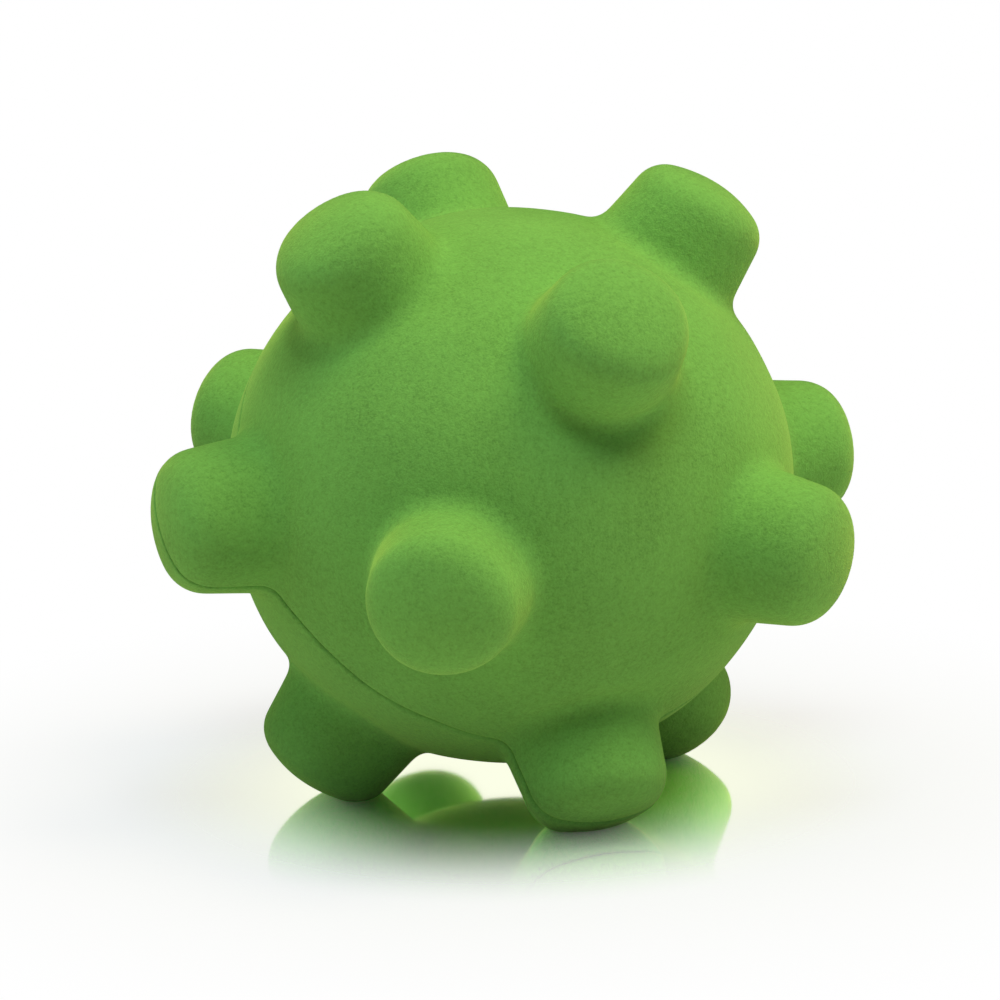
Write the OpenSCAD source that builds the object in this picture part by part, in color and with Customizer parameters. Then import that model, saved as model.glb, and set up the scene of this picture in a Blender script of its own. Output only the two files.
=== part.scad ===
// Knobbly sensory ball of moulded foam with a velvety flock coat.
// Fourteen round bumps grow out of the ball: one on each face and one on each corner of an unseen cube.
// Two foam halves are bonded on a flat parting plane that runs through four of the face bumps.
// The ball stands on three of its bumps, with +Z up, -Y to the front and the origin on the floor below it.

/* [Ball] */
// Diameter of the round ball between the bumps, over the flock
ball_d = 76; // [68:0.5:84]

/* [Bumps] */
// Height of a bump over the round ball
bump_h = 12; // [10.5:0.5:16]
// Diameter of a bump, over the flock
bump_d = 19.5; // [16:0.5:22]
// Radius of the domed end of a bump
bump_dome_r = 14.5; // [12:0.5:24]
// Radius of the rolled edge between the domed end and the side of a bump
bump_edge_r = 2.4; // [1.5:0.1:4]
// Radius of the hollow foot where a bump flares out into the ball
bump_foot_r = 3; // [2:0.1:4.5]

/* [Coat and bond] */
// Length of the flock pile, which is the thickness of the coat
flock_t = 0.6; // [0.4:0.05:1]
// Thickness of the bond film between the two foam halves
bond_t = 0.3; // [0.2:0.05:0.5]
// Width of the bare line between the edges of the two flock coats
seam_w = 0.6; // [0.5:0.05:1]

/* [Standing] */
// Depth to which the foam is pressed flat on the floor under each of the three standing bumps
foot_press = 0.5; // [0.3:0.05:0.8]

/* [Hidden] */
$fn = 96;

// Depth by which the rolled edge and the hollow foot lap over the faces that they join, for clean edges
blend_lap = 0.03;

// Length from the end of one bump to the end of the opposite one, over the flock
span = ball_d + 2 * bump_h;

// Size of the blocks that trim the ball, larger than all of it
trim = 2 * span;

// Middle of the dome's circle, measured along the axis of a bump from the middle of the ball
dome_at = span / 2 - bump_dome_r;

// Middle of the rolled edge's circle, out from the axis of the bump and along it
edge_out = bump_d / 2 - bump_edge_r;
edge_at = dome_at + sqrt(pow(bump_dome_r - bump_edge_r, 2) - pow(edge_out, 2));

// Angle from the axis at which the dome runs into the rolled edge
dome_end = atan2(edge_out, edge_at - dome_at);

// Middle of the hollow foot's circle, out from the axis of the bump and along it
foot_out = bump_d / 2 + bump_foot_r;
foot_at = sqrt(pow(ball_d / 2 + bump_foot_r, 2) - pow(foot_out, 2));

// Lean from upright of the three standing bumps, a side bump and the two corner bumps nearest to it
stand_lean = atan(sqrt(3) - 1);

// Height of the middle of the ball over the floor, with the coat and some foam pressed flat below it
dome_reach = dome_at * cos(stand_lean) + bump_dome_r;
edge_reach = edge_at * cos(stand_lean) + edge_out * sin(stand_lean) + bump_edge_r;
centre_h = (stand_lean < dome_end ? dome_reach : edge_reach) - flock_t - foot_press;

// Directions of the bumps in the ball's own frame, whose parting plane is level
SIDES = [for (turn = [0 : 90 : 270]) [cos(turn), sin(turn), 0]];
CORNERS = [for (turn = [45 : 90 : 315]) [sqrt(2) * cos(turn), sqrt(2) * sin(turn), 1]];
POLE = [0, 0, 1];

FOAM = "olivedrab";
PILE = "yellowgreen";
GLUE = "darkolivegreen";

// Half outline of a bump, upright from the middle of the ball and set in by an even depth
module bump_outline(inset) {
    side_r = bump_d / 2 - inset;
    // The domed end, as far as the rolled edge
    intersection() {
        translate([0, dome_at]) circle(bump_dome_r - inset);
        polygon([
            [0, dome_at],
            [0, dome_at + span],
            [span * sin(dome_end), dome_at + span * cos(dome_end)]
        ]);
    }
    // The rolled edge
    translate([edge_out, edge_at]) circle(bump_edge_r - inset + blend_lap);
    // The straight side and the flared foot
    difference() {
        polygon([[0, 0], [foot_out, foot_at], [side_r, foot_at], [side_r, edge_at], [0, edge_at]]);
        translate([foot_out, foot_at]) circle(bump_foot_r + inset + blend_lap);
    }
}

// A bump that points along a direction
module bump(way, inset) {
    rotate([0, acos(way.z / norm(way)), atan2(way.y, way.x)]) rotate_extrude() bump_outline(inset);
}

// The ball with the bumps of a list of directions, set in by an even depth
module knobbly_ball(ways, inset) {
    sphere(ball_d / 2 - inset);
    for (way = ways) bump(way, inset);
}

// A block whose lower face lies at a height
module block_above(h) {
    translate([0, 0, h + trim / 2]) cube(trim, center = true);
}

// The part of the ball above a level plane, with the nine bumps that reach over it
module upper_half(inset, plane_h) {
    intersection() {
        knobbly_ball(concat([POLE], CORNERS, SIDES), inset);
        block_above(plane_h);
    }
}

// Stands the ball's own frame on three bumps: the upper half then faces forward and up
module stand() {
    intersection() {
        translate([0, 0, centre_h]) rotate([90 - stand_lean, 0, 0]) children();
        block_above(0);
    }
}

// Half of the foam body, which stops at the bond film
module foam_half() {
    upper_half(flock_t, bond_t / 2);
}

// The flock coat of one half, which stops short of the parting plane
module flock_half() {
    difference() {
        upper_half(0, seam_w / 2);
        upper_half(flock_t, 0);
    }
}

module front_foam() {
    color(FOAM) stand() foam_half();
}

module rear_foam() {
    color(FOAM) stand() mirror(POLE) foam_half();
}

// The film over the whole parting face, out to the foam's own surface at the bottom of the bare line
module bond_film() {
    color(GLUE) stand() intersection() {
        knobbly_ball(SIDES, flock_t);
        cube([trim, trim, bond_t], center = true);
    }
}

module front_flock() {
    color(PILE) stand() flock_half();
}

module rear_flock() {
    color(PILE) stand() mirror(POLE) flock_half();
}

rear_foam();
front_foam();
bond_film();
rear_flock();
front_flock();
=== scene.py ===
import math

import bpy
import numpy as np
from mathutils import Matrix, Vector


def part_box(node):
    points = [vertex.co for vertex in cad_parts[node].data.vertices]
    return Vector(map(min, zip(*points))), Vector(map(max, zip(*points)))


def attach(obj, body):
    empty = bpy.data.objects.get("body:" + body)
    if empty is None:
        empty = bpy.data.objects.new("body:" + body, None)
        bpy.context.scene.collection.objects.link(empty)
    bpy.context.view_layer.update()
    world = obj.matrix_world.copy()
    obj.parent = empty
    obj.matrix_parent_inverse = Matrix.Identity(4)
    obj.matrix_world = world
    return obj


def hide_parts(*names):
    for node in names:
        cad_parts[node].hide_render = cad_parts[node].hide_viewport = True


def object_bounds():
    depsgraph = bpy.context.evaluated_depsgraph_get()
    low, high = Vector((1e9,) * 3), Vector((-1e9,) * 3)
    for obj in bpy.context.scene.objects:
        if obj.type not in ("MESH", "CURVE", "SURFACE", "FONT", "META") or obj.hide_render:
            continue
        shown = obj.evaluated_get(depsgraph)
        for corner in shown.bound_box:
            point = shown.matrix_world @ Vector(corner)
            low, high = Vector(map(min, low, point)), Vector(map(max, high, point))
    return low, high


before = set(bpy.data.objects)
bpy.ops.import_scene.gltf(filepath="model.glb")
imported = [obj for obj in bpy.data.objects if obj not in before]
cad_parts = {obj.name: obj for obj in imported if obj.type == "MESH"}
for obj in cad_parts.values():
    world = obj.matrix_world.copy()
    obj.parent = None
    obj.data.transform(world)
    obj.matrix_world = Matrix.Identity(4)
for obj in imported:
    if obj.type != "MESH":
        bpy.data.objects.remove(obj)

CAD_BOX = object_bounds()
BODY = "root"
MM = 0.001
TINY = 1e-12
UPRIGHT = math.pi / 2
FULL_TURN = 2 * math.pi

# Sizes of the ball over its soft coat, in metres. An even bump ends a little inside the CAD's box,
# because single bumps are stretched further down.
EVEN_SHORTER = 0.4 * MM
SPAN = CAD_BOX[1].x - CAD_BOX[0].x - EVEN_SHORTER
BALL_R = 38 * MM
BUMP_R = 9.65 * MM
DOME_R = 17.5 * MM
EDGE_R = 5 * MM
SIDE_TAPER = math.radians(7)
FOOT_R = 3 * MM
FLOCK_T = 0.6 * MM
BOND_T = 0.3 * MM

# The two coats close up to a narrow groove with rolled lips, which gapes unevenly and wanders.
# The gape's shares: its middle, what the foot of the ball adds, and what is uneven.
SEAM_W = 0.25 * MM
LIP_W = 0.75 * MM
SEAM_GAPE = (0.58, 0.28, 0.16)
GAPE_LIMITS = (0.1, 1)
SEAM_WANDER = 0.14 * MM
SEAM_REACH = 2.5 * MM
SEAM_WAVES = (7, 12, 19, 31)
GAPE_SEED = 2
WANDER_SEED = 3

# The coat under the standing bumps, the room between the layers, and the bead of glue past the foam
PRESSED_FLOCK_T = 0.25 * MM
LAYER_CLEARANCE = 0.02 * MM
BEAD_OUT = 0.05 * MM

# The parts of a bump's outline, out from its axis and along it
DOME_AT = SPAN / 2 - DOME_R
EDGE_OUT = BUMP_R - EDGE_R
EDGE_AT = DOME_AT + math.sqrt((DOME_R - EDGE_R) ** 2 - EDGE_OUT ** 2)
DOME_END = math.atan2(EDGE_OUT, EDGE_AT - DOME_AT)
SIDE_TILT = UPRIGHT - SIDE_TAPER
SIDE_WAY = Vector((math.cos(SIDE_TILT), -math.sin(SIDE_TILT)))
SIDE_NORMAL = Vector((math.sin(SIDE_TILT), math.cos(SIDE_TILT)))

# The side runs down to the ball, and the middle of the foot's circle lies on a line beside it
FOOT_START = Vector((EDGE_OUT, EDGE_AT)) + (EDGE_R + FOOT_R) * SIDE_NORMAL
FOOT_FALL = -FOOT_START.dot(SIDE_WAY)
SIDE_LENGTH = FOOT_FALL - math.sqrt(FOOT_FALL ** 2 - FOOT_START.length_squared + (BALL_R + FOOT_R) ** 2)
FOOT_OUT, FOOT_AT = FOOT_START + SIDE_LENGTH * SIDE_WAY
FOOT_END = math.atan2(FOOT_OUT, FOOT_AT)

# A bump and its foot take up this angle from its axis. The coat eases the turns of the outline.
BUMP_ZONE = math.radians(26)
SOFTENING = 1.2 * MM

# The ball's own frame has its parting plane level; it then leans onto three of its bumps
STAND_LEAN = math.atan(math.sqrt(3) - 1)
STAND = np.array(Matrix.Rotation(UPRIGHT - STAND_LEAN, 3, "X"))
CENTRE = np.array(sum(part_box("bond_film"), Vector()) / 2)

# Directions of the bumps in the ball's own frame
POLES = [(0, 0, 1), (0, 0, -1)]
SIDES = [(1, 0, 0), (0, 1, 0), (-1, 0, 0), (0, -1, 0)]
CORNERS = [(x, y, z) for x in (-1, 1) for y in (-1, 1) for z in (-1, 1)]
BUMPS = POLES + SIDES + CORNERS

# The soft foam isn't perfectly even: it sags a little, and some bumps lean or differ in height.
# For each bump: how far its end lies from its even place, in the CAD's frame, and how much taller it is.
# Within the core the foam leans fully, and from there less and less to the edge of the bump's zone.
SAG_WIDER = 1.006
SAG_LOWER = 0.988
LEAN_CORE = math.radians(15)
UNEVEN_BUMPS = {
    (0, 0, 1): ((0.3 * MM, 1.3 * MM, 1.75 * MM), -0.9 * MM),
    (1, 0, 0): ((0, 0, 0.9 * MM), 0.4 * MM),
    (-1, 0, 0): ((0, 0, -0.2 * MM), 0.3 * MM),
    (0, 1, 0): ((0, 0, 0), 0.2 * MM),
    (-1, 1, -1): ((0.4 * MM, 0, 0.4 * MM), -0.45 * MM),
    (-1, 1, 1): ((0.2 * MM, 0, 0), -0.4 * MM),
    (1, 1, 1): ((-0.4 * MM, 0.1 * MM, 0), -0.15 * MM),
    (1, -1, 1): ((0.4 * MM, 0, 0.3 * MM), -0.1 * MM),
    (-1, -1, 1): ((0.4 * MM, -0.2 * MM, -0.3 * MM), -0.5 * MM),
    (-1, -1, -1): ((0, 0, 0), -0.4 * MM),
}

# Slow waves of the moulded foam
WAVES = 24
WAVE_LENGTHS = (11 * MM, 26 * MM)
WAVE_DEPTH = 0.1 * MM
WAVE_SEED = 5

# Tight creases in the hollow foot of a bump: the side of the bump, the depth and the angle from the axis.
# The layers below are pressed deeper, so that they stay under the coat.
CREASES = {
    (0, 0, 1): ((-0.25, 0, -1), 1.6 * MM, math.radians(15)),
    (0, -1, 0): ((-0.3, -0.9, 0.2), 0.8 * MM, math.radians(16)),
}
CREASE_W = math.radians(2.8)
INNER_CREASE = 1.35
FOAM_CREASE = 1.7

# Fineness of the meshes
FLOCK_RINGS = 116
FOAM_RINGS = 44
LIP_RINGS = 6
WALL_RINGS = 2
FIRST_ROW = 1.2 * MM
OUTLINE_POINTS = 600

# Noises of the materials: length of a clump, detail and roughness
TIPS = (0.28 * MM, 2, 0.6)
TUFTS = (0.75 * MM, 3, 0.7)
NAP = (12 * MM, 1, 0.5)
PORES = (0.3 * MM, 3, 0.7)
CLOUD = (1.5 * MM, 2, 0.5)
NOISE_MIDDLE = 0.5

# How much tips, tufts and nap change the flock's tone, and tips and tufts the height of its pile
TONE_WEIGHTS = (0.6, 0.65, 0.3)
PILE_WEIGHTS = (0.5, 0.8)

# Strength and depth of the fine relief
PILE_RELIEF = (0.9, 0.15 * MM)
PORE_RELIEF = (0.4, 0.1 * MM)
CLOUD_RELIEF = (0.2, 0.1 * MM)

FLOCK_COLOURS = [
    (0.2, (0.114, 0.306, 0.066)),
    (0.5, (0.166, 0.446, 0.096)),
    (0.8, (0.201, 0.540, 0.115)),
]
FOAM_COLOURS = [(0.3, (0.045, 0.140, 0.020)), (0.7, (0.075, 0.215, 0.030))]
BOND_COLOURS = [(0.3, (0.030, 0.095, 0.015)), (0.7, (0.050, 0.145, 0.022))]

FLOCK_SURFACE = {
    "Roughness": 0.95,
    "Specular IOR Level": 0.15,
    "Sheen Weight": 0.5,
    "Sheen Roughness": 0.45,
    "Sheen Tint": (0.64, 1, 0.2, 1),
}
FOAM_SURFACE = {"Roughness": 0.9, "Specular IOR Level": 0.2}
BOND_SURFACE = {"Roughness": 0.55}

# Floor: what it throws back onto the ball close below it and away from it, and what is seen of it.
# Each fade runs between two distances from the middle of the floor.
FLOOR_HALF = 4.0
BOARD = (0.93, 0.93, 0.93, 1)
# Painted shade: close below the ball the board's colour for the light it throws back is darker
BOARD_PAINTED_SHADE = (0.6, 0.58, 0.6, 1)
BOARD_SHADE_FADE = (30 * MM, 110 * MM)
BOARD_SEEN = (0.7, 0.8, 0.95, 1)
WHITE_FADE = (10 * MM, 110 * MM)
WHITE_SHARES = (0.6, 1)

# The floor's mirror image is brighter than the ball, as the photograph's is
MIRROR_FADE = (20 * MM, 56 * MM)
MIRROR_TINT = (3.4, 3.5, 2.8, 1)
MIRROR_GAIN = 3.5
MIRROR_ROUGHNESS = 0.07

# Light: the world's fill and the soft boxes. For each box: the turn round from the camera to its right
# and the rise from level, in degrees, its distance and side in metres, its watts and its colour.
WHITE = (1, 1, 1, 1)
WARM = (1, 0.72, 0.4)
COOL = (0.82, 1, 0.95)
PLAIN = (1, 1, 1)
WORLD_FILL = 0.01
SOFT_BOXES = {
    "top_box": (0, 90, 0.71, 0.7, 2.05, WARM),
    "front_top_box": (0, 72, 0.71, 0.3, 2.1, COOL),
    "right_top_box": (90, 65, 0.71, 0.3, 2.8, WARM),
    "left_box": (-90, 20, 0.8, 0.4, 1.1, COOL),
    "right_box": (90, 20, 0.8, 0.4, 0.8, PLAIN),
}

# Camera
VIEW_AZIMUTH = math.radians(-23.25)
VIEW_ELEVATION = math.radians(12.2)
VIEW_ROLL = math.radians(-1.1)
VIEW_DISTANCE = 557 * MM
LENS = 148
VIEW_SHIFT = (-0.0107, -0.0146)


# Small sums

def unit(way):
    return np.array(way, float) / np.linalg.norm(way)


def unit_rows(rows):
    return rows / np.maximum(np.linalg.norm(rows, axis=-1, keepdims=True), TINY)


def angle_from(ways, axis):
    return np.arccos(np.clip(ways @ axis, -1, 1))


def off_axis(ways, axis):
    """Unit directions straight away from an axis."""
    return unit_rows(ways - (ways @ axis)[..., None] * axis)


def smooth(share):
    return share * share * (3 - 2 * share)


def running_sum(steps):
    return np.concatenate([[0], np.cumsum(steps)])


# Shape of the surface

def soften(tilt, step):
    """Eases the tilt along the outline, which goes on over the dome before it and the ball after it."""
    reach = round(SOFTENING / step)
    before = -tilt[reach:0:-1]
    after = tilt[-1] + np.arange(1, reach + 1) * step / BALL_R
    weights = np.hanning(2 * reach + 1)
    return np.convolve(np.concatenate([before, tilt, after]), weights / weights.sum(), "valid")


def bump_outline():
    """A bump's outline from the middle of its end to the ball: share of its length, out, along and tilt."""
    turns = [0, DOME_END, SIDE_TILT, SIDE_TILT, FOOT_END, BUMP_ZONE]
    ends = running_sum([
        DOME_R * DOME_END,
        EDGE_R * (SIDE_TILT - DOME_END),
        SIDE_LENGTH,
        FOOT_R * (SIDE_TILT - FOOT_END),
        BALL_R * (BUMP_ZONE - FOOT_END),
    ])
    length = np.linspace(0, ends[-1], OUTLINE_POINTS)
    step = length[1]
    tilt = soften(np.interp(length, ends, turns), step)
    between = (tilt[1:] + tilt[:-1]) / 2
    out = running_sum(np.cos(between) * step)
    along = SPAN / 2 - running_sum(np.sin(between) * step)
    share = length / ends[-1]
    out += (BALL_R * math.sin(BUMP_ZONE) - out[-1]) * smooth(share)
    along += (BALL_R * math.cos(BUMP_ZONE) - along[-1]) * smooth(share)
    return share, out, along, tilt


OUTLINE = bump_outline()


def skin(ways):
    """Points and outward normals of the ball's outer surface for a grid of directions."""
    points = BALL_R * ways
    normals = ways.copy()
    for way in BUMPS:
        axis = unit(way)
        angle = angle_from(ways, axis)
        near = angle < BUMP_ZONE
        aside = off_axis(ways[near], axis)
        share = angle[near] / BUMP_ZONE
        out, along, tilt = (np.interp(share, OUTLINE[0], values) for values in OUTLINE[1:])
        points[near] = np.outer(along, axis) + out[:, None] * aside
        normals[near] = np.outer(np.cos(tilt), axis) + np.sin(tilt)[:, None] * aside
    return points, normals


def ring_grid(rings):
    """Ring number and turn of each point of a square grid that is wrapped onto a disc."""
    line = np.arange(-rings, rings + 1)
    across, up = np.meshgrid(line, line, indexing="ij")
    ring = np.maximum(abs(across), abs(up))
    wide = abs(across) >= abs(up)
    main = np.where(wide, across, up)
    minor = np.where(wide, up, across)
    slant = math.pi / 4 * minor / np.where(main == 0, 1, main)
    turn = np.where(wide, slant, UPRIGHT - slant) + np.where(main < 0, math.pi, 0)
    return ring, turn


def level_ways(turn):
    return np.stack([np.cos(turn), np.sin(turn), np.zeros_like(turn)], axis=-1)


def half_surface(rings, rim_rings, rim, inset):
    """A grid over the upper half: rings down from the pole, then rim rings at the parting plane.
    rim gives a rim point's inset and height, from its share of the way to the last ring and its turn."""
    ring, turn = ring_grid(rings)
    body_rings = rings - rim_rings
    tilt = np.minimum(ring / body_rings, 1) * (UPRIGHT - FIRST_ROW / BALL_R)
    ways = level_ways(turn) * np.sin(tilt)[..., None]
    ways[..., 2] = np.cos(tilt)
    points, normals = skin(ways)
    points = points - inset * normals
    at_rim = ring > body_rings
    level, level_normals = skin(level_ways(turn[at_rim]))
    share = (ring[at_rim] - body_rings - 1) / (rim_rings - 1)
    rim_inset, rim_height = rim(share, turn[at_rim])
    points[at_rim] = level - rim_inset[:, None] * level_normals
    points[at_rim, 2] = rim_height
    return points


def parting_face(rings, inset, height, rim_height):
    """A flat grid over the parting plane, whose outermost ring lies at a height of its own."""
    ring, turn = ring_grid(rings)
    level, normals = skin(level_ways(turn))
    points = (level - inset * normals) * (ring / rings)[..., None]
    points[..., 2] = np.where(ring == rings, rim_height, height)
    return points


def seam_waves(turn, seed):
    """Uneven waves round the seam, mostly from -1 to 1."""
    starts = np.random.default_rng(seed).uniform(0, FULL_TURN, len(SEAM_WAVES))
    waves = sum(np.sin(count * turn + start) for count, start in zip(SEAM_WAVES, starts))
    return waves / math.sqrt(len(SEAM_WAVES))


def seam_gape(turn):
    """How far the seam gapes: most at the foot, where the weight spreads the coats."""
    middle, foot, uneven = SEAM_GAPE
    return np.clip(middle - foot * np.sin(turn) + uneven * seam_waves(turn, GAPE_SEED), *GAPE_LIMITS)


# The moulded unevenness, standing and sagging, for every layer

def lean_bumps(points):
    """Leans and stretches the uneven bumps, with the foam around them."""
    ways = unit_rows(points)
    moved = points.copy()
    for way, (shift, taller) in UNEVEN_BUMPS.items():
        axis = unit(way)
        turn = np.cross(axis, STAND.T @ np.array(shift)) / (SPAN / 2)
        share = np.clip((BUMP_ZONE - angle_from(ways, axis)) / (BUMP_ZONE - LEAN_CORE), 0, 1)
        ease = smooth(share)
        rise = np.clip((points @ axis - FOOT_AT) / (SPAN / 2 - FOOT_AT), 0, 1) * ease
        moved += ease[..., None] * np.cross(turn, points) + (taller * rise)[..., None] * axis
    return moved


def press_creases(points, gain):
    """Presses the tight creases into the corner between a bump's side and the ball."""
    ways = unit_rows(points)
    pressed = points.copy()
    for way, (side, most, middle) in CREASES.items():
        axis = unit(way)
        toward = STAND.T @ np.array(side)
        toward = unit(toward - axis * (toward @ axis))
        aside = off_axis(ways, axis)
        facing = np.clip(aside @ toward, 0, 1)
        across = (angle_from(ways, axis) - middle) / CREASE_W
        depth = gain * most * np.exp(-across ** 2) * facing ** 2
        pressed -= depth[..., None] * (ways + aside) / math.sqrt(2)
    return pressed


def unevenness(points):
    """Slow and shallow waves, as soft moulded foam has, and the wander of the seam."""
    draw = np.random.default_rng(WAVE_SEED)
    shift = np.zeros_like(points)
    for _ in range(WAVES):
        way = unit(draw.normal(size=3))
        pitch = FULL_TURN / draw.uniform(*WAVE_LENGTHS)
        start = draw.uniform(0, FULL_TURN)
        push = draw.normal(size=3)
        shift += np.sin(points @ way * pitch + start)[..., None] * push
    shift *= WAVE_DEPTH / math.sqrt(WAVES)
    turn = np.arctan2(points[..., 1], points[..., 0])
    at_seam = np.exp(-(points[..., 2] / SEAM_REACH) ** 2)
    shift[..., 2] += SEAM_WANDER * seam_waves(turn, WANDER_SEED) * at_seam
    return shift


def stand(points, floor, crease_gain=1):
    """Points of the ball's own frame in the CAD's frame, pressed flat where they would go below floor."""
    points = press_creases(lean_bumps(points), crease_gain)
    points = points + unevenness(points)
    points = points @ STAND.T + CENTRE
    points = points * np.array([SAG_WIDER, SAG_WIDER, SAG_LOWER])
    points[..., 2] = np.maximum(points[..., 2], floor)
    return points


# Meshes

def quads(index):
    """Corners of each face of a grid of point numbers."""
    corners = [index[:-1, :-1], index[1:, :-1], index[1:, 1:], index[:-1, 1:]]
    return np.stack(corners, axis=-1).reshape(-1, 4)


def closed_mesh(name, front, back, mirrored=False):
    """A closed mesh of two grids that share their outermost ring."""
    side = front.shape[0]
    index = np.arange(side * side).reshape(side, side)
    inner = np.zeros((side, side), bool)
    inner[1:-1, 1:-1] = True
    back_index = index.copy()
    back_index[inner] = side * side + np.arange(inner.sum())
    points = np.concatenate([front.reshape(-1, 3), back[inner]])
    faces = np.concatenate([quads(index), quads(back_index)[:, ::-1]])
    if mirrored:
        faces = faces[:, ::-1]
    mesh = bpy.data.meshes.new(name)
    mesh.from_pydata(points, [], faces.tolist())
    mesh.polygons.foreach_set("use_smooth", np.ones(len(faces), bool))
    mesh.validate()
    piece = bpy.data.objects.new(name, mesh)
    bpy.context.collection.objects.link(piece)
    return piece


def mirror(points, mirrored):
    return points * np.array([1, 1, -1]) if mirrored else points


def flock_coat(name, mirrored):
    """The velvety coat of one half, with a rolled lip along the seam."""
    def lip(share, turn):
        roll = share * UPRIGHT
        gape = seam_gape(turn)
        return gape * FLOCK_T * (1 - np.cos(roll)), gape * (SEAM_W / 2 + LIP_W * (1 - np.sin(roll)))

    def inside(share, turn):
        return np.full_like(share, FLOCK_T), SEAM_W / 2 + LIP_W * (1 - share)

    outer = half_surface(FLOCK_RINGS, LIP_RINGS, lip, 0)
    inner = half_surface(FLOCK_RINGS, LIP_RINGS, inside, FLOCK_T)
    outer = stand(mirror(outer, mirrored), 0)
    inner = stand(mirror(inner, mirrored), PRESSED_FLOCK_T, INNER_CREASE)
    return closed_mesh(name, outer, inner, mirrored)


def foam_half(name, mirrored):
    """One half of the moulded foam body, flat on the parting plane."""
    inset = FLOCK_T + LAYER_CLEARANCE
    low = BOND_T / 2 + LAYER_CLEARANCE

    def wall(share, turn):
        return np.full_like(share, inset), low + FIRST_ROW / 2 * (1 - share)

    outer = half_surface(FOAM_RINGS, WALL_RINGS, wall, inset)
    face = parting_face(FOAM_RINGS, inset, low, low)
    floor = PRESSED_FLOCK_T + LAYER_CLEARANCE
    outer = stand(mirror(outer, mirrored), floor, FOAM_CREASE)
    face = stand(mirror(face, mirrored), floor, FOAM_CREASE)
    return closed_mesh(name, outer, face, mirrored)


def bond_film(name):
    """The film of glue between the halves, with a thin bead squeezed out all round."""
    inset = FLOCK_T - BEAD_OUT
    floor = PRESSED_FLOCK_T + LAYER_CLEARANCE
    upper = stand(parting_face(FOAM_RINGS, inset, BOND_T / 2, 0), floor)
    lower = stand(parting_face(FOAM_RINGS, inset, -BOND_T / 2, 0), floor)
    return closed_mesh(name, upper, lower)


# Shader nodes

def new_material(name):
    material = bpy.data.materials.new(name)
    material.use_nodes = True
    tree = material.node_tree
    return material, tree, tree.nodes["Principled BSDF"]


def add(tree, kind, settings=(), **inputs):
    """A new node with its settings and its inputs, which are constants or links.
    An input is given by its name, or as _0, _1 and so on by its number."""
    made = tree.nodes.new(kind)
    for name, value in settings:
        setattr(made, name, value)
    for name, value in inputs.items():
        socket = made.inputs[int(name[1:]) if name.startswith("_") else name]
        if isinstance(value, bpy.types.NodeSocket):
            tree.links.new(value, socket)
        else:
            socket.default_value = value
    return made


def maths(tree, operation, *values):
    inputs = {f"_{place}": value for place, value in enumerate(values)}
    return add(tree, "ShaderNodeMath", [("operation", operation)], **inputs).outputs[0]


def mix(tree, share, first, second):
    return add(tree, "ShaderNodeMixShader", _0=share, _1=first, _2=second).outputs[0]


def diffuse(tree, colour):
    return add(tree, "ShaderNodeBsdfDiffuse", Color=colour).outputs[0]


def fade(tree, reach, places, values):
    """Goes smoothly from one value to another between two distances."""
    return add(
        tree, "ShaderNodeMapRange", [("interpolation_type", "SMOOTHSTEP")],
        _0=reach, _1=places[0], _2=places[1], _3=values[0], _4=values[1],
    ).outputs[0]


def noise(tree, grain, detail, roughness):
    """Noise whose clumps are about as long as grain, in metres."""
    place = add(tree, "ShaderNodeTexCoord").outputs["Object"]
    return add(
        tree, "ShaderNodeTexNoise", Vector=place, Scale=1 / grain, Detail=detail, Roughness=roughness
    ).outputs["Fac"]


def blend_noises(tree, base, noises, weights):
    """base plus each noise times its weight."""
    total = base
    for value, weight in zip(noises, weights):
        total = maths(tree, "MULTIPLY_ADD", value, weight, total)
    return total


def colour_ramp(tree, factor, stops):
    made = add(tree, "ShaderNodeValToRGB", Fac=factor)
    while len(made.color_ramp.elements) < len(stops):
        made.color_ramp.elements.new(0.5)
    for element, (place, colour) in zip(made.color_ramp.elements, stops):
        element.position = place
        element.color = (*colour, 1)
    return made.outputs["Color"]


def dress(tree, shader, tone, colours, height, relief, surface):
    """Colours a shader by a tone, gives it a fine relief and sets its constants."""
    strength, depth = relief
    normal = add(tree, "ShaderNodeBump", Height=height, Strength=strength, Distance=depth).outputs["Normal"]
    tree.links.new(normal, shader.inputs["Normal"])
    tree.links.new(colour_ramp(tree, tone, colours), shader.inputs["Base Color"])
    for name, value in surface.items():
        shader.inputs[name].default_value = value


# Materials of the ball

def flock_material():
    """Short dense pile: a grain of fibre tips and tufts, slow patches where the nap lies over, and sheen."""
    material, tree, shader = new_material("flock_pile")
    tips = noise(tree, *TIPS)
    tufts = noise(tree, *TUFTS)
    nap = noise(tree, *NAP)
    base = NOISE_MIDDLE - NOISE_MIDDLE * sum(TONE_WEIGHTS)
    tone = blend_noises(tree, base, (tips, tufts, nap), TONE_WEIGHTS)
    pile = blend_noises(tree, 0.0, (tips, tufts), PILE_WEIGHTS)
    dress(tree, shader, tone, FLOCK_COLOURS, pile, PILE_RELIEF, FLOCK_SURFACE)
    return material


def foam_material():
    """Dense moulded foam with fine pores."""
    material, tree, shader = new_material("moulded_foam")
    pores = noise(tree, *PORES)
    dress(tree, shader, pores, FOAM_COLOURS, pores, PORE_RELIEF, FOAM_SURFACE)
    return material


def bond_material():
    """Tough glue, a little darker and smoother than the foam."""
    material, tree, shader = new_material("bond_glue")
    cloud = noise(tree, *CLOUD)
    dress(tree, shader, cloud, BOND_COLOURS, cloud, CLOUD_RELIEF, BOND_SURFACE)
    return material


# Studio

def camera_sees(tree):
    """1 for rays that show the background: straight, mirrored or through."""
    path = add(tree, "ShaderNodeLightPath").outputs
    seen = maths(tree, "MAXIMUM", path["Is Camera Ray"], path["Is Glossy Ray"])
    return maths(tree, "MAXIMUM", seen, path["Is Transmission Ray"])


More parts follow.
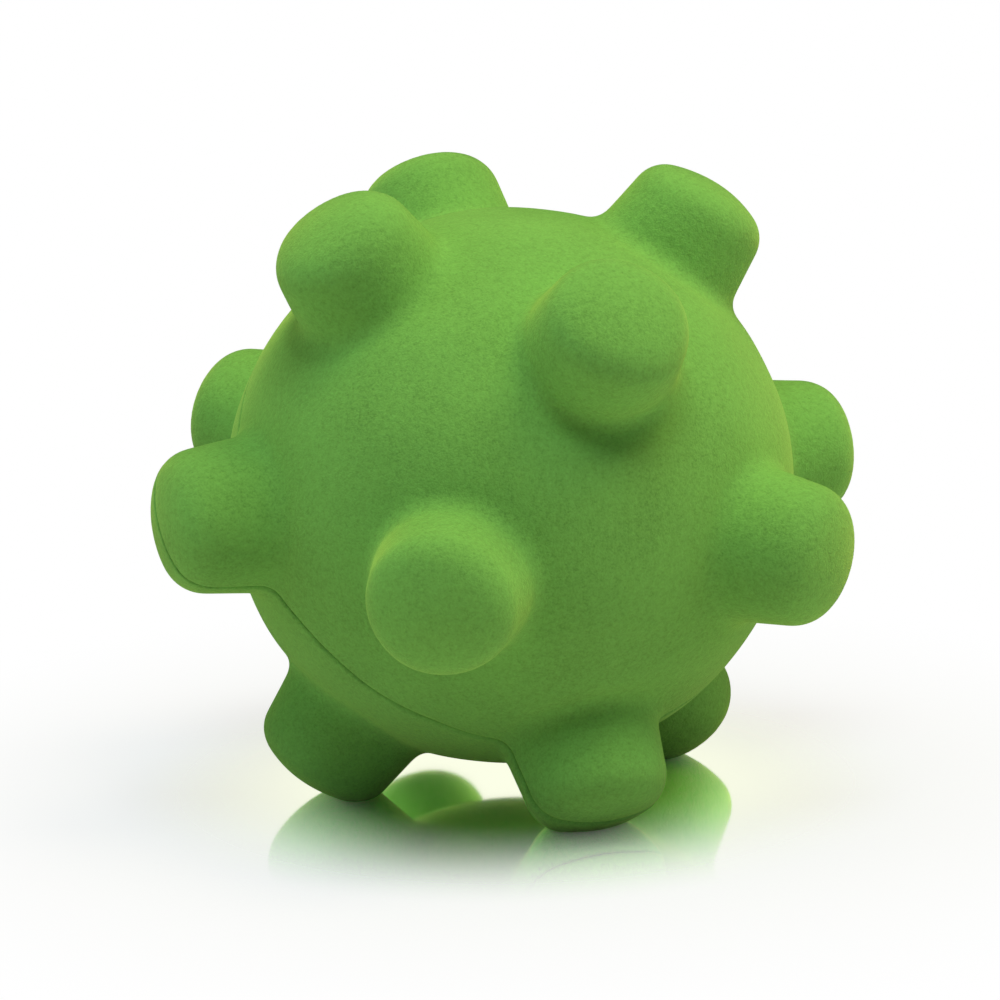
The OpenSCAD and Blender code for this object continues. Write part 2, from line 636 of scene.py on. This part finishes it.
def seen_board(tree, reach):
    """The board as it is seen: it keeps the shadow, fades to white, and mirrors the ball close to it."""
    white = add(tree, "ShaderNodeEmission", Strength=1).outputs[0]
    board = mix(tree, fade(tree, reach, WHITE_FADE, WHITE_SHARES), diffuse(tree, BOARD_SEEN), white)
    gloss = add(tree, "ShaderNodeBsdfGlossy", Color=MIRROR_TINT, Roughness=MIRROR_ROUGHNESS).outputs[0]
    straight = add(tree, "ShaderNodeLightPath").outputs["Is Camera Ray"]
    mirror_share = maths(tree, "MULTIPLY", fade(tree, reach, MIRROR_FADE, (1, 0)), straight)
    return mix(tree, mirror_share, board, gloss)


def floor_material():
    """White glossy board with painted shade: close below the ball its colour is darker, so it lights the
    ball less from close below it than from further away.
    """
    material, tree, shader = new_material("white_board")
    tree.nodes.remove(shader)
    place = add(tree, "ShaderNodeTexCoord").outputs["Object"]
    reach = add(tree, "ShaderNodeVectorMath", [("operation", "LENGTH")], _0=place).outputs["Value"]
    # Painted shade: the colour fades from dark close below the ball to the pale board further away
    shade_to_plain = fade(tree, reach, BOARD_SHADE_FADE, (0, 1))
    lighting = mix(tree, shade_to_plain, diffuse(tree, BOARD_PAINTED_SHADE), diffuse(tree, BOARD))
    surface = mix(tree, camera_sees(tree), lighting, seen_board(tree, reach))
    tree.links.new(surface, tree.nodes["Material Output"].inputs["Surface"])
    return material


def make_floor():
    mesh = bpy.data.meshes.new("studio_floor")
    corners = [(-1, -1), (1, -1), (1, 1), (-1, 1)]
    mesh.from_pydata([(x * FLOOR_HALF, y * FLOOR_HALF, 0) for x, y in corners], [], [(0, 1, 2, 3)])
    floor = bpy.data.objects.new("studio_floor", mesh)
    bpy.context.collection.objects.link(floor)
    floor.data.materials.append(floor_material())


def make_world():
    """White where it is seen, and a faint even fill on the ball. The floor's mirror is brightened, so the
    mirrored background is dimmed as much and comes out white."""
    world = bpy.data.worlds.new("studio_world")
    bpy.context.scene.world = world
    world.use_nodes = True
    tree = world.node_tree
    path = add(tree, "ShaderNodeLightPath").outputs
    straight = maths(tree, "MAXIMUM", path["Is Camera Ray"], path["Is Transmission Ray"])
    mirrored = maths(tree, "MULTIPLY", path["Is Glossy Ray"], 1 / MIRROR_GAIN)
    seen = maths(tree, "MAXIMUM", straight, mirrored)
    background = tree.nodes["Background"]
    tree.links.new(maths(tree, "MAXIMUM", seen, WORLD_FILL), background.inputs["Strength"])
    background.inputs["Color"].default_value = WHITE


def soft_light(name, turn, rise, distance, size, power, colour):
    """A square soft box that faces the ball and isn't mirrored itself."""
    azimuth = VIEW_AZIMUTH + math.radians(turn)
    level = distance * math.cos(math.radians(rise))
    height = distance * math.sin(math.radians(rise))
    away = Vector((level * math.sin(azimuth), -level * math.cos(azimuth), height))
    lamp = bpy.data.lights.new(name, "AREA")
    lamp.shape = "SQUARE"
    lamp.size = size
    lamp.energy = power
    lamp.color = colour
    light = bpy.data.objects.new(name, lamp)
    light.location = Vector(CENTRE) + away
    light.rotation_euler = away.to_track_quat("Z", "Y").to_euler()
    light.visible_glossy = False
    bpy.context.collection.objects.link(light)


def make_camera():
    sine, cosine = math.sin(VIEW_AZIMUTH), math.cos(VIEW_AZIMUTH)
    level = math.cos(VIEW_ELEVATION)
    back = Vector((sine * level, -cosine * level, math.sin(VIEW_ELEVATION)))
    right = Vector((cosine, sine, 0))
    rolled = Matrix.Rotation(VIEW_ROLL, 3, back) @ right
    up = back.cross(rolled)
    data = bpy.data.cameras.new("photo_camera")
    data.lens = LENS
    data.shift_x, data.shift_y = VIEW_SHIFT
    camera = bpy.data.objects.new("photo_camera", data)
    turn = Matrix((rolled, up, back)).transposed()
    middle = Vector(CENTRE * np.array([1, 1, SAG_LOWER]))
    camera.matrix_world = Matrix.Translation(middle + VIEW_DISTANCE * back) @ turn.to_4x4()
    bpy.context.collection.objects.link(camera)
    bpy.context.scene.camera = camera


def finish_piece(piece, node, material):
    piece.data.materials.append(material)
    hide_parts(node)
    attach(piece, BODY)


make_camera()

FLOCK = flock_material()
FOAM = foam_material()
for half, is_rear in (("front", False), ("rear", True)):
    coat = flock_coat(f"{half}_coat", is_rear)
    finish_piece(coat, f"{half}_flock", FLOCK)
    body = foam_half(f"{half}_body", is_rear)
    finish_piece(body, f"{half}_foam", FOAM)
finish_piece(bond_film("glue_line"), "bond_film", bond_material())

make_floor()
make_world()
for box_name, box in SOFT_BOXES.items():
    soft_light(box_name, *box)
bpy.context.scene.view_settings.view_transform = "Standard"
